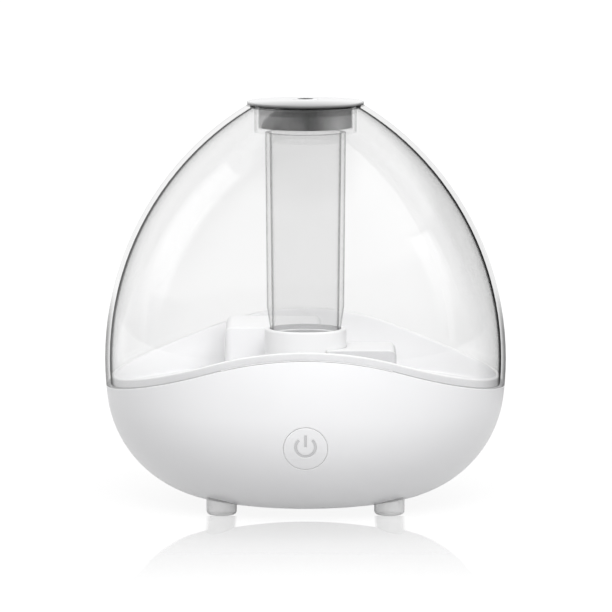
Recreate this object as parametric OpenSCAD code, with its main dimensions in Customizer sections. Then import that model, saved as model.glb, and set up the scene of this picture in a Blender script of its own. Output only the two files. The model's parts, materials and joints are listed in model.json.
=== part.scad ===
// Tabletop cool mist humidifier: a clear dome over a white water base.
// Millimetres, +Z up, front towards -Y, origin on the table under the axis.

/* [Outline] */
// Greatest width of the body, at its belly
body_w = 200; // [190:1:240]
// Height of the dome's top rim above the table
rim_h = 199; // [180:1:240]
// Height of the belly, where the body is widest
belly_h = 72.6; // [68:0.2:78]
// Radius of the bowl's lower corner
corner_r = 57.4; // [54:0.2:60]
// Radius of the gentle curve under the bowl
under_r = 174.5; // [165:0.5:185]
// Distance of that curve's centre from the axis
under_x = 18.7; // [16:0.1:21]
// Height of the flat underside above the table
floor_h = 2.5; // [2:0.1:4]
// Radius of the flat underside
flat_r = 40; // [34:1:42]

/* [Seam between dome and bowl] */
// Height of the seam's crest, at the front and back
seam_h = 83; // [80:0.5:86]
// Radius of the crest
crest_r = 145; // [130:1:170]
// Half of the crest's width
crest_half = 46; // [40:1:50]
// Radius of the hollow that runs down to each side
valley_r = 850; // [700:10:1200]
// Gap between the dome's edge and the bowl's edge
seam_gap = 0.3; // [0.3:0.05:0.6]

/* [Walls] */
// Wall of the clear dome
dome_wall = 2.3; // [2:0.1:3]
// Wall of the bowl
bowl_wall = 2.5; // [2.2:0.1:3]
// Wall of the water basin
basin_wall = 2; // [1.6:0.1:2.4]
// Height of the basin's lip above the seam
lip_h = 4; // [3:0.25:6]
// Gap between the lip and the dome
lip_gap = 0.6; // [0.5:0.05:0.9]

/* [Mist outlet] */
// Outer radius of the cup that the nozzle sits in
cup_r = 25.4; // [25:0.1:31]
// Wall of that cup
cup_wall = 2; // [1.6:0.1:2.2]
// Depth of the cup, from the rim to its underside
cup_depth = 13.2; // [11:0.2:16]
// Distance of the nozzle cap's edge from the dome's edge
cap_inset = 0.5; // [0.2:0.1:1]
// Thickness of the cap at its edge
cap_edge = 1.6; // [1.4:0.1:2]
// Rise of the cap from its edge to its middle
cap_crown = 0.9; // [0.6:0.1:1.5]
// Radius of the mist hole in the cap
mist_hole_r = 4; // [3:0.25:6]
// Depth of the skirt under the cap
skirt_h = 11.5; // [9:0.25:11.5]

/* [Mist tube] */
// Radius of the tube's bore at its lower end
tube_bore_r = 16.7; // [16:0.1:17.4]
// Radius of the tube's bore at its top, wider so that the tube leaves its mould
tube_top_bore_r = 17.9; // [17.4:0.1:18.4]
// Wall of the tube at its top
tube_top_wall = 2.2; // [1.6:0.1:2.6]
// Wall of the tube above its tapered end
tube_wall = 2.4; // [1.6:0.1:2.8]
// Wall of the tube at its lower end
tube_end_wall = 0.6; // [0.5:0.1:1]
// Length of the tapered end
taper_h = 13; // [8:1:16]
// Wall of the collar that the tube stands in
collar_wall = 2.1; // [1.8:0.1:2.4]
// Height of the collar's top
collar_top = 87.6; // [85:0.2:90]

/* [Base] */
// Height of the basin's floor, on its wet side
basin_floor = 42; // [35:0.5:44]
// Height of the shelf round the trough
shelf_h = 57; // [54:0.5:58]
// Distance of the trough's wall from the bowl's wall
trough_inset = 8.6; // [8:0.2:12]
// Distance of a foot's middle from the body's edge
foot_inset = 41.5; // [40:0.5:43]
// Radius of a foot
foot_r = 7.5; // [7:0.25:8]
// Radius of the power button
button_r = 10.6; // [9.5:0.1:11]
// Height of the power button
button_h = 40; // [39:0.5:41]
// Travel of the power button
button_travel = 1; // [0.6:0.1:1]
// Depth of the power inlet's middle under the basin
jack_drop = 12; // [10:0.5:13]

/* [Covers in the basin] */
// Height of the air cover's top
air_top = 85.5; // [83:0.5:86]
// Height of the float cover's top
float_top = 78.5; // [76:0.5:80]
// Half of the float cover's depth
float_cover_half = 18; // [16:0.5:20]
// Wall of both covers
cover_wall = 2; // [1.6:0.1:2.2]
// Radius of the covers' corners
cover_round = 3.7; // [3:0.1:4.2]
// Distance that the float can rise
float_travel = 12; // [8:0.5:14]

/* [Hidden] */

$fn = 96;
OUTLINE_FN = 240;
UNDER_STEPS = 2;
CORNER_STEPS = 18;
SIDE_STEPS = 26;
eps = 0.01;
over = 1;
body_r = body_w / 2;

// Side curve: one arc from the belly, where it is upright, to the mouth. Its inner
// face would reach the rim a little inside the cup's wall.
cup_overlap = 0.37;
side_run = body_r - dome_wall - cup_r + cup_overlap;
side_rise = rim_h - belly_h;
side_r = dome_wall + (side_run * side_run + side_rise * side_rise) / (2 * side_run);
side_x = body_r - side_r;
mouth_r = side_x + sqrt(side_r * side_r - side_rise * side_rise);
cap_r = mouth_r - cap_inset;

// Underside curve: it passes the edge of the flat underside.
under_z = floor_h + sqrt(pow(under_r, 2) - pow(flat_r - under_x, 2));

// Corner curve: tangent to the side curve and to the underside curve.
span = norm([under_x - side_x, under_z - belly_h]);
reach_a = side_r - corner_r;
reach_b = under_r - corner_r;
along = (reach_a * reach_a - reach_b * reach_b + span * span) / (2 * span);
across = sqrt(reach_a * reach_a - along * along);
dir_x = (under_x - side_x) / span;
dir_z = (under_z - belly_h) / span;
corner_x = side_x + along * dir_x + across * dir_z;
corner_z = belly_h + along * dir_z - across * dir_x;
side_turn = atan2(corner_z - belly_h, corner_x - side_x);
under_turn = atan2(corner_z - under_z, corner_x - under_x);

// Radius of the outline, set in by a wall, at a height below the rim.
function outline_r(z, inset = 0) =
    z >= belly_h + (side_r - inset) * sin(side_turn)
        ? side_x + sqrt(pow(side_r - inset, 2) - pow(z - belly_h, 2))
    : z >= under_z + (under_r - inset) * sin(under_turn)
        ? corner_x + sqrt(pow(corner_r - inset, 2) - pow(z - corner_z, 2))
        : under_x + sqrt(pow(under_r - inset, 2) - pow(z - under_z, 2));

// Height of the outline's underside at a distance from the axis
function outline_z(r) =
    r <= under_x + under_r * cos(under_turn)
        ? under_z - sqrt(pow(under_r, 2) - pow(r - under_x, 2))
        : corner_z - sqrt(pow(corner_r, 2) - pow(r - corner_x, 2));

// Seam: the crest's arc meets each hollow arc at this slope and height.
crest_turn = asin(crest_half / crest_r);
join_h = seam_h - crest_r * (1 - cos(crest_turn));
valley_x = crest_half + valley_r * sin(crest_turn);
valley_z = join_h + valley_r * cos(crest_turn);

// Basin
lip_inset = dome_wall + lip_gap;
floor_under = basin_floor - basin_wall;
trough_r = outline_r(floor_under, bowl_wall) - trough_inset;

// Dome and nozzle
mouth_bore_r = cup_r - cup_wall;
cup_under = rim_h - cup_depth;
cup_floor = 1.8;
cup_flange_h = 1;
cup_ledge = 0.7;
cup_flange_r = outline_r(rim_h - cup_flange_h, dome_wall) + cup_ledge;
spigot_wall = 1.8;
spigot_h = 5;
cap_gap = 0.6;
cap_under = rim_h + cap_gap;
cap_top = cap_under + cap_edge;
skirt_r = mouth_bore_r - 0.4;
skirt_wall = 1.8;
cap_ring_r = skirt_r - skirt_wall - 0.1;
cap_ring_wall = 1.5;
cap_ring_h = 5;

// Tube and collar
seat_depth = 2.6;
seat_gap = 0.2;
cover_gap = 1;
tube_gap = 0.35;
tube_top_r = tube_top_bore_r + tube_top_wall;
tube_end_r = tube_bore_r + tube_end_wall;
collar_r = tube_end_r + 1.05 + collar_wall;
tube_end = collar_top - seat_depth + tube_gap;
tube_top = cup_under - 0.1;
// Radius of the tube's bore at a height
function bore_at(z) = tube_bore_r
    + (tube_top_bore_r - tube_bore_r) * (z - tube_end) / (tube_top - tube_end);
tube_r = bore_at(tube_end + taper_h) + tube_wall;
tube_r_at_collar = tube_end_r + (tube_r - tube_end_r) * (collar_top - tube_end) / taper_h;
spigot_r = bore_at(cup_under - spigot_h) - 0.1;
collar_bore_r = tube_bore_r - 1.5;
collar_lip_h = 3;
collar_slot_w = 7;
collar_slot_h = 9;
passage_w = 12;
passage_low = air_top - 21.5;
passage_high = air_top - 6.5;

// Air cover, with the chimney behind its front wall
air_left = -40.5;
air_right = 8;
air_front = collar_r - 1.25;
chimney_r = 17.5;
chimney_gap = 1.3;
chimney_top = air_top - 15.5;
chimney_hole_r = chimney_r - 1;

// Fan, under the chimney
fan_x = -14;
fan_y = air_front + cover_wall + chimney_gap + chimney_r;
fan_w = 35;
fan_h = 10;
air_back = fan_y + 32;
fan_pitch = 29;
fan_bore_r = 16.6;
fan_top = floor_under - 4;
fan_under = fan_top - fan_h;
hub_r = 8.5;
shaft_r = 1;
bearing_r = 2.6;
bearing_h = 6.6;
hub_plate_h = 1.8;
shaft_low = 1.3;
rotor_low = 2.4;
rotor_high = fan_h - 0.8;
rotor_wall = 1.2;
gasket_gap = 0.1;

// Float and its cover
float_x = collar_r + 12.75;
float_r = 9.4;
float_h = 14;
float_post_r = 3;
float_stud_r = float_post_r - 0.6;
float_bore_r = 3.4;
float_low = basin_floor + 0.5;
float_cover_right = float_x + 12;
magnet_h = 3;
magnet_gap = 0.1;
magnet_wall = 0.9;
clip_z = float_low + float_h + float_travel + 0.4;
clip_h = 1;
float_post_top = clip_z + clip_h + 0.6;
sensor_w = 14;
sensor_d = 6;
sensor_h = 3.1;

// Transducer
disc_r = 10;
disc_h = 1.2;
wet_r = disc_r - 1.5;
seal_r = 12.6;
seal_h = 3.3;
seal_top = floor_under - 0.1;
disc_under = seal_top - 2.3;
clamp_top = seal_top - seal_h - 0.05;
clamp_h = 1.3;
clamp_pitch_r = 19;
clamp_turns = [30, 150, 270];
seal_rim = 2.4;

// Button and switch, placed backwards from the button's face
button_gap = 0.3;
sleeve_wall = 2;
flange_r = button_r + 1.6;
flange_room = 0.74;
sleeve_end = outline_r(button_h - flange_r, bowl_wall) - flange_room;
flange_h = 1.5;
flange_front = sleeve_end - button_gap;
icon_inset = 0.04;
icon_depth = 0.6;
stem_r = 2.5;
stem_end = flange_front - flange_h - 1.6;
plunger_r = 1.7;
plunger_h = 2.1;
tact_front = stem_end - button_travel - 0.2;
tact_h = 3.4;
tact_w = 6;
board_t = 1.6;
switch_board_y = tact_front - tact_h;
switch_board_w = 2 * (flange_r + 7.3);
switch_board_h = 18;
switch_post_x = flange_r + 4.3;
switch_post_r = 2.5;
switch_room = 3.3;
trough_front = switch_board_y - board_t - switch_room - basin_wall;

// Main board
board_w = 60;
board_d = 52;
board_y = -18;
board_z = 14;
board_top = board_z + board_t;
board_hole_x = 26;
board_hole_y = 22;
board_post_r = 3;
connector_w = 7;
connector_d = 5;
connector_h = 6;
fan_plug = [-20, 2];
disc_plug = [4, -16];
switch_plug = [0, -38];
jack_plug = [17, 2];
sensor_plug = [24, -12];

// Feet and posts
foot_ring_r = body_r - foot_inset;
foot_at = foot_ring_r * sqrt(0.5);
foot_bury = 0.97;
foot_top = outline_z(foot_ring_r + foot_r) + foot_bury;
foot_edge = 2;
foot_places = [["foot_front_left", -1, -1], ["foot_front_right", 1, -1],
    ["foot_rear_left", -1, 1], ["foot_rear_right", 1, 1]];
socket_gap = 0.2;
socket_top = foot_top + 0.2;
socket_wall = 2.2;
post_r = 4;
post_under = socket_top + socket_wall + 0.1;

// Screws: clearance in the hole that a thread bites, and in one that it passes
bite = 0.05;
pass_gap = 0.3;
small_shank_r = 1.2;
small_head_r = 2.4;
small_head_h = 1.5;
small_post_r = 2.6;
small_hole_h = 3.4;
base_shank_r = 1.45;
base_head_r = 3;
base_head_h = 2.2;
base_screw_h = 15;
base_hole_h = base_screw_h + 1;
small_screw_h = 8;

// Inlet
jack_x = 20;
jack_h = floor_under - jack_drop;
well_r = 7.5;
well_y = sqrt(pow(outline_r(jack_h - well_r), 2) - pow(jack_x + well_r, 2)) - 1.8;
well_wall = 2.2;
barrel_r = 3.9;
barrel_end = well_y + 3;
jack_body_r = 5.4;
jack_body_h = 9;
jack_back = well_y - well_wall - 0.1;
socket_r = 2.75;
socket_depth = 9.5;
jack_pin_r = 1;

// Air intake in the underside
intake_r = 20;
grille_r = 23.8;
grille_h = 1.4;
grille_gap = 0.2;
foam_r = 17.2;
foam_h = 4;

// Wires
LEAD_R = 0.6;
LEAD_SIDES = 8;
LEAD_STEPS = 12;
lead_pitch = 0.9;
lead_gap = 0.02;

WHITE = [0.95, 0.95, 0.95];
CLEAR = [0.86, 0.9, 0.93, 0.35];
DARK = [0.33, 0.33, 0.34];
GREEN = [0.1, 0.4, 0.25];
STEEL = [0.75, 0.76, 0.78];
BLACK = [0.1, 0.1, 0.11];

// ---- Shared shapes ----

function arc(x, z, r, from, to, steps) =
    [for (i = [0 : steps]) let (a = from + (to - from) * i / steps) [x + r * cos(a), z + r * sin(a)]];

// Half section of the body, set in from its outer surface. Its curves are rows of
// short chords, so each revolves to a ring of cones.
module outline(inset = 0, over = 0) {
    low = floor_h + inset;
    high = rim_h + over;
    under_from = asin((low - under_z) / (under_r - inset));
    corner_from = max(under_turn, asin((low - corner_z) / (corner_r - inset)));
    side_to = asin((high - belly_h) / (side_r - inset));
    polygon(concat([[0, low]],
        under_turn > under_from
            ? arc(under_x, under_z, under_r - inset, under_from, under_turn, UNDER_STEPS) : [],
        arc(corner_x, corner_z, corner_r - inset, corner_from, side_turn, CORNER_STEPS),
        arc(side_x, belly_h, side_r - inset, side_turn, side_to, SIDE_STEPS),
        [[0, high]]));
}

module outline_solid(inset = 0) {
    rotate_extrude($fn = OUTLINE_FN) outline(inset);
}

// Everything below the seam's wave, raised by a distance
module below_seam(lift = 0) {
    margin = 20;
    rotate([90, 0, 0]) linear_extrude(height = body_w + margin, center = true)
        translate([0, lift]) {
            difference() {
                translate([-body_w, -margin]) square([2 * body_w, join_h + margin]);
                for (side = [-1, 1])
                    translate([side * valley_x, valley_z]) circle(r = valley_r, $fn = 1440);
            }
            intersection() {
                translate([0, seam_h - crest_r]) circle(r = crest_r, $fn = OUTLINE_FN);
                translate([-crest_r, join_h]) square([2 * crest_r, seam_h]);
            }
        }
}

module ring(r, bore, h) {
    difference() {
        cylinder(r = r, h = h);
        translate([0, 0, -over]) cylinder(r = bore, h = h + 2 * over);
    }
}

// A prism through the front or back wall, along Y, drawn as seen from the front
module front_prism(z, from, to) {
    translate([0, -from, z]) rotate([90, 0, 0]) linear_extrude(height = to - from) children();
}

module rounded_plan(x1, y1, x2, y2, r) {
    translate([x1 + r, y1]) square([x2 - x1 - 2 * r, y2 - y1]);
    translate([x1, y1 + r]) square([x2 - x1, y2 - y1 - 2 * r]);
    for (x = [x1 + r, x2 - r], y = [y1 + r, y2 - r]) translate([x, y]) circle(r = r, $fn = 48);
}

// A screw that points up from its seat, with a cross recess in its head
module screw(shank_r, head_r, head_h, length) {
    recess_w = 0.7;
    recess_h = 0.8;
    recess_half = head_r * 0.6;
    cylinder(r = shank_r, h = length, $fn = 32);
    difference() {
        translate([0, 0, -head_h]) cylinder(r = head_r, h = head_h, $fn = 48);
        for (turn = [0, 90]) rotate([0, 0, turn])
            translate([-recess_half, -recess_w / 2, -head_h - over])
                cube([2 * recess_half, recess_w, recess_h + over]);
    }
}

module small_screw(length) {
    screw(small_shank_r, small_head_r, small_head_h, length);
}

// ---- Dome and mist tube ----

module clear_dome() color(CLEAR) {
    difference() {
        rotate_extrude($fn = OUTLINE_FN) difference() {
            outline(0);
            outline(dome_wall, over);
            translate([0, cup_under]) square([cup_r + bite, cup_depth + over]);
            translate([0, rim_h - cup_flange_h - bite]) square([cup_flange_r + bite, cup_depth]);
        }
        below_seam(seam_gap);
    }
}

// Cup in the dome's mouth, hung by its flange, with the spigot that holds the tube
module nozzle_cup() color(CLEAR) {
    rotate_extrude($fn = OUTLINE_FN) {
        translate([mouth_bore_r, cup_under]) square([cup_wall, cup_depth]);
        translate([mouth_bore_r, rim_h - cup_flange_h])
            square([cup_flange_r - mouth_bore_r, cup_flange_h]);
        translate([spigot_r - spigot_wall, cup_under])
            square([cup_r - spigot_r + spigot_wall, cup_floor]);
        translate([spigot_r - spigot_wall, cup_under - spigot_h])
            square([spigot_wall, spigot_h + cup_floor]);
    }
}

module mist_tube() color(CLEAR) {
    rotate_extrude()
        polygon([[tube_bore_r, tube_end], [tube_end_r, tube_end], [tube_r, tube_end + taper_h],
            [tube_top_r, tube_top], [tube_top_bore_r, tube_top]]);
}

// ---- Nozzle ----

module nozzle_cap() color(WHITE) {
    crown_r = (cap_r * cap_r + cap_crown * cap_crown) / (2 * cap_crown);
    crown_z = cap_top + cap_crown - crown_r;
    chamfer = 0.4;
    ring_r = mist_hole_r + 2.2;
    ring_rise = 0.2;
    rotate_extrude() {
        polygon(concat([[mist_hole_r, cap_under], [cap_r, cap_under], [cap_r, cap_top - chamfer]],
            arc(0, crown_z, crown_r, acos((cap_r - chamfer) / crown_r),
                acos(mist_hole_r / crown_r), 8)));
        translate([mist_hole_r, cap_under])
            square([ring_r - mist_hole_r, cap_edge + cap_crown + ring_rise]);
        translate([cap_ring_r - cap_ring_wall, cap_under - cap_ring_h])
            square([cap_ring_wall, cap_ring_h]);
    }
}

module nozzle_skirt() color(DARK) {
    translate([0, 0, cap_under - skirt_h]) ring(skirt_r, skirt_r - skirt_wall, skirt_h);
}

// Splash baffle: a disc on three legs under the cap
module nozzle_baffle() color(WHITE) {
    drop = 8;
    baffle_r = 11;
    baffle_h = 1.2;
    leg_w = 2.5;
    leg_t = 2;
    translate([0, 0, cap_under - drop]) {
        cylinder(r = baffle_r, h = baffle_h);
        for (turn = [30, 150, 270]) rotate([0, 0, turn])
            translate([baffle_r - leg_t - 0.5, -leg_w / 2, 0]) cube([leg_t, leg_w, drop]);
    }
}

// ---- Bowl ----

module base_shell() color(WHITE) {
    difference() {
        union() {
            intersection() {
                rotate_extrude($fn = OUTLINE_FN) {
                    difference() {
                        outline(0);
                        outline(bowl_wall);
                    }
                }
                below_seam();
            }
            intersection() {
                shell_bosses();
                outline_solid(bowl_wall / 2);
            }
        }
        shell_holes();
    }
}

module shell_bosses() {
    for (p = foot_places) translate([p[1] * foot_at, p[2] * foot_at, 0])
        cylinder(r = foot_r + socket_gap + socket_wall, h = socket_top + socket_wall);
    for (x = [-1, 1], y = [-1, 1])
        translate([x * board_hole_x, board_y + y * board_hole_y, 0])
            cylinder(r = board_post_r, h = board_z);
    front_prism(button_h, sleeve_end, body_r)
        circle(r = button_r + button_gap + sleeve_wall);
    for (side = [-1, 1]) front_prism(button_h, switch_board_y + 0.1, body_r)
        translate([side * switch_post_x, 0]) circle(r = switch_post_r);
    inlet_rod(well_y - well_wall, body_r, well_r + well_wall);
}

module shell_holes() {
    for (p = foot_places) translate([p[1] * foot_at, p[2] * foot_at, 0]) {
        translate([0, 0, -over]) cylinder(r = foot_r + socket_gap, h = socket_top + over);
        cylinder(r = base_shank_r + pass_gap, h = socket_top + socket_wall + over, $fn = 32);
    }
    for (x = [-1, 1], y = [-1, 1])
        translate([x * board_hole_x, board_y + y * board_hole_y, floor_h + bowl_wall])
            cylinder(r = small_shank_r + bite, h = board_z, $fn = 32);
    front_prism(button_h, sleeve_end - over, body_r + over) circle(r = button_r + button_gap);
    for (side = [-1, 1])
        front_prism(button_h, switch_board_y - over, switch_board_y + small_screw_h + 0.5)
            translate([side * switch_post_x, 0]) circle(r = small_shank_r + bite, $fn = 32);
    inlet_rod(well_y, body_r + over, well_r);
    inlet_rod(well_y - well_wall - over, well_y + over, barrel_r + 2 * bite);
    translate([0, 0, floor_h - over]) cylinder(r = grille_r + grille_gap, h = grille_h + over + 0.1);
    translate([0, 0, floor_h]) cylinder(r = intake_r, h = bowl_wall + over);
}

// ---- Water basin ----

module trough_plan(grow = 0) {
    intersection() {
        circle(r = trough_r + grow);
        translate([-body_r, -trough_front - grow]) square([body_w, body_r + trough_front + grow]);
    }
}

module basin() color(WHITE) {
    difference() {
        union() {
            difference() {
                intersection() {
                    rotate_extrude($fn = OUTLINE_FN) basin_rim();
                    below_seam(lip_h);
                }
                translate([0, 0, shelf_h - basin_wall - over])
                    linear_extrude(height = basin_wall + 2 * over) trough_plan();
            }
            difference() {
                translate([0, 0, floor_under])
                    linear_extrude(height = shelf_h - floor_under) trough_plan(basin_wall);
                translate([0, 0, basin_floor])
                    linear_extrude(height = shelf_h) trough_plan();
            }
            basin_posts();
        }
        basin_holes();
    }
}

// Lip and shelf, in half section
module basin_rim() {
    intersection() {
        difference() {
            outline(lip_inset);
            outline(lip_inset + basin_wall);
        }
        translate([0, shelf_h - basin_wall]) square([body_w, rim_h]);
    }
    intersection() {
        outline(lip_inset);
        translate([0, shelf_h - basin_wall]) square([body_w, basin_wall]);
    }
}

module at_fan_corners(z) {
    translate([fan_x, fan_y, z]) for (x = [-1, 1], y = [-1, 1])
        translate([x * fan_pitch / 2, y * fan_pitch / 2, 0]) children();
}

module at_clamp_ears(z) {
    for (turn = clamp_turns) rotate([0, 0, turn]) translate([clamp_pitch_r, 0, z]) children();
}

// Slots at the foot of the collar, where the water runs in
module collar_slots(h) {
    for (turn = [45, 135]) rotate([0, 0, turn])
        translate([-collar_r - over, -collar_slot_w / 2, 0])
            cube([2 * (collar_r + over), collar_slot_w, h]);
}

module basin_posts() {
    register_wall = collar_wall - 0.15;
    register_h = 3;
    for (p = foot_places) translate([p[1] * foot_at, p[2] * foot_at, post_under])
        cylinder(r = post_r, h = floor_under - post_under + eps);
    at_fan_corners(fan_top + gasket_gap) cylinder(r = small_post_r, h = floor_under - fan_top);
    at_clamp_ears(clamp_top + bite) cylinder(r = small_post_r, h = floor_under - clamp_top);
    translate([0, 0, clamp_top + bite])
        ring(seal_r + seal_rim, seal_r + 0.1, floor_under - clamp_top);
    translate([0, 0, floor_under])
        ring(collar_r - collar_wall - 0.15, collar_r - collar_wall - 0.15 - register_wall,
            basin_wall + register_h);
}

module basin_holes() {
    for (p = foot_places) translate([p[1] * foot_at, p[2] * foot_at, 0])
        cylinder(r = base_shank_r + bite, h = socket_top + base_hole_h, $fn = 32);
    translate([fan_x, fan_y, floor_under - over])
        cylinder(r = chimney_hole_r, h = basin_wall + 2 * over);
    translate([float_x, 0, floor_under - over])
        cylinder(r = float_stud_r, h = basin_wall + 2 * over, $fn = 48);
    at_fan_corners(fan_top - over)
        cylinder(r = small_shank_r + bite, h = small_hole_h + over, $fn = 32);
    at_clamp_ears(clamp_top - over)
        cylinder(r = small_shank_r + bite, h = small_hole_h + over, $fn = 32);
    cylinder(r = wet_r, h = basin_floor + over);
    translate([0, 0, basin_floor]) collar_slots(4);
}

// ---- Collar and covers in the basin ----

// Tube that carries the fan's air up above the water
module air_chimney() color(WHITE) {
    translate([fan_x, fan_y, 0]) difference() {
        union() {
            translate([0, 0, basin_floor + bite])
                cylinder(r = chimney_r, h = chimney_top - basin_floor - bite);
            translate([0, 0, floor_under])
                cylinder(r = chimney_hole_r - bite, h = 2 * basin_wall);
        }
        translate([0, 0, floor_under - over])
            cylinder(r = chimney_r - basin_wall, h = chimney_top);
    }
}

module float_post() color(WHITE) {
    translate([float_x, 0, 0]) {
        translate([0, 0, basin_floor + bite])
            cylinder(r = float_post_r, h = float_post_top - basin_floor - bite, $fn = 48);
        translate([0, 0, floor_under])
            cylinder(r = float_stud_r - bite, h = 2 * basin_wall, $fn = 48);
    }
}

module mist_collar() color(WHITE) {
    low = basin_floor + seat_gap;
    bore = collar_r - collar_wall;
    edge = 0.6;
    difference() {
        rotate_extrude() difference() {
            union() {
                translate([0, low]) square([collar_r, collar_top - edge - low]);
                translate([0, collar_top - edge]) square([collar_r - edge, edge]);
                translate([collar_r - edge, collar_top - edge]) circle(r = edge, $fn = 48);
            }
            translate([-over, low - over])
                square([bore + over, collar_top - seat_depth - collar_lip_h - low + over]);
            translate([-over, low]) square([collar_bore_r + over, collar_top]);
            translate([-over, collar_top - seat_depth])
                square([tube_r_at_collar + tube_gap + over, seat_depth + over]);
        }
        translate([0, 0, low - over]) collar_slots(collar_slot_h + over);
        translate([-passage_w / 2, 0, passage_low])
            cube([passage_w, collar_r + over, passage_high - passage_low]);
    }
}

// A cover's body: rounded in plan and along both top edges that run front to back
module cover_block(x1, y1, x2, y2, top, r) {
    intersection() {
        linear_extrude(height = top) rounded_plan(x1, y1, x2, y2, r);
        translate([0, y2 + over, 0]) rotate([90, 0, 0]) linear_extrude(height = y2 - y1 + 2 * over)
            rounded_plan(x1, -2 * r, x2, top, r);
    }
}

// A cover standing on the basin's floor, fitted to the collar and to the trough's wall
module cover(x1, y1, x2, y2, top) {
    low = basin_floor + seat_gap;
    t = cover_wall;
    difference() {
        intersection() {
            cover_block(x1, y1, x2, y2, top, cover_round);
            cylinder(r = trough_r - cover_gap, h = top + over);
        }
        intersection() {
            cover_block(x1 + t, y1 + t, x2 - t, y2 - t, top - t, cover_round - t);
            cylinder(r = trough_r - cover_gap - t, h = top + over);
        }
        translate([x1 - over, y1 - over, -over])
            cube([x2 - x1 + 2 * over, y2 - y1 + 2 * over, low + over]);
        cylinder(r = collar_r + seat_gap, h = top + over);
        children();
    }
}

module air_cover() color(WHITE) {
    cover(air_left, air_front, air_right, air_back, air_top)
        translate([-passage_w / 2, 0, passage_low])
            cube([passage_w, air_front + cover_wall + over, passage_high - passage_low]);
}

module float_cover() color(WHITE) {
    slot_w = 2.5;
    slot_h = 8;
    slots = 4;
    slot_pitch = (float_cover_right - collar_r) / (slots + 1);
    cover(0, -float_cover_half, float_cover_right, float_cover_half, float_top)
        for (i = [1 : slots]) translate([collar_r + i * slot_pitch - slot_w / 2, -body_r, 0])
            cube([slot_w, body_w, basin_floor + slot_h]);
}

// ---- Float ----

module float() color(WHITE) {
    translate([float_x, 0, float_low]) difference() {
        ring(float_r, float_bore_r, float_h);
        translate([0, 0, -eps])
            ring(float_r - magnet_wall, float_bore_r + magnet_wall, magnet_h + magnet_gap);
    }
}

module float_magnet() color(STEEL) {
    inset = magnet_wall + magnet_gap;
    translate([float_x, 0, float_low]) ring(float_r - inset, float_bore_r + inset, magnet_h);
}

// Clip on the float's post, above the float's highest place
module float_clip() color(STEEL) {
    translate([float_x, 0, clip_z]) ring(float_post_r + 2.2, float_post_r + bite, clip_h);
}

module float_sensor() color(BLACK) {
    translate([float_x - sensor_w / 2, -sensor_d / 2, floor_under - 0.1 - sensor_h])
        cube([sensor_w, sensor_d, sensor_h]);
}

// ---- Transducer ----

module transducer_disc() color(STEEL) {
    translate([0, 0, disc_under]) cylinder(r = disc_r, h = disc_h);
}

module transducer_seal() color(BLACK) {
    translate([0, 0, seal_top - seal_h]) difference() {
        ring(seal_r, wet_r, seal_h);
        translate([0, 0, disc_under - seal_top + seal_h - bite])
            cylinder(r = disc_r + bite, h = disc_h + 2 * bite);
    }
}

module transducer_clamp() color(STEEL) {
    ear_r = 3;
    difference() {
        union() {
            translate([0, 0, clamp_top - clamp_h]) {
                cylinder(r = seal_r + seal_rim, h = clamp_h);
                for (turn = clamp_turns) rotate([0, 0, turn])
                    translate([0, -ear_r, 0]) cube([clamp_pitch_r, 2 * ear_r, clamp_h]);
            }
            at_clamp_ears(clamp_top - clamp_h) cylinder(r = ear_r, h = clamp_h);
        }
        translate([0, 0, clamp_top - clamp_h - over])
            cylinder(r = disc_r - 2, h = clamp_h + 2 * over);
        at_clamp_ears(clamp_top - clamp_h - over)
            cylinder(r = small_shank_r + pass_gap, h = clamp_h + 2 * over, $fn = 32);
    }
}

module clamp_screws() color(STEEL) {
    at_clamp_ears(clamp_top - clamp_h - bite) small_screw(clamp_h + 3);
}

// ---- Fan ----

module fan_housing() color(BLACK) {
    spoke_w = 2.4;
    difference() {
        translate([fan_x - fan_w / 2, fan_y - fan_w / 2, fan_under]) cube([fan_w, fan_w, fan_h]);
        translate([fan_x, fan_y, fan_under - over]) cylinder(r = fan_bore_r, h = fan_h + 2 * over);
        at_fan_corners(fan_under - over)
            cylinder(r = small_shank_r + pass_gap, h = fan_h + 2 * over, $fn = 32);
    }
    translate([fan_x, fan_y, fan_under]) difference() {
        union() {
            cylinder(r = hub_r + 0.5, h = hub_plate_h);
            for (turn = [20, 140, 260]) rotate([0, 0, turn])
                translate([0, -spoke_w / 2, 0]) cube([fan_bore_r + 0.5, spoke_w, hub_plate_h]);
            cylinder(r = bearing_r, h = bearing_h, $fn = 48);
        }
        translate([0, 0, shaft_low - 0.3]) cylinder(r = shaft_r + bite, h = fan_h, $fn = 32);
    }
}

module fan_stator() color([0.72, 0.42, 0.2]) {
    stator_r = 6;
    stator_h = 4;
    slot_w = 1.6;
    slot_in = 4;
    translate([fan_x, fan_y, fan_under + hub_plate_h + 0.4]) difference() {
        ring(stator_r, bearing_r + 0.1, stator_h);
        for (turn = [45 : 90 : 315]) rotate([0, 0, turn])
            translate([slot_in, -slot_w / 2, -over]) cube([stator_r, slot_w, stator_h + 2 * over]);
    }
}

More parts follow.
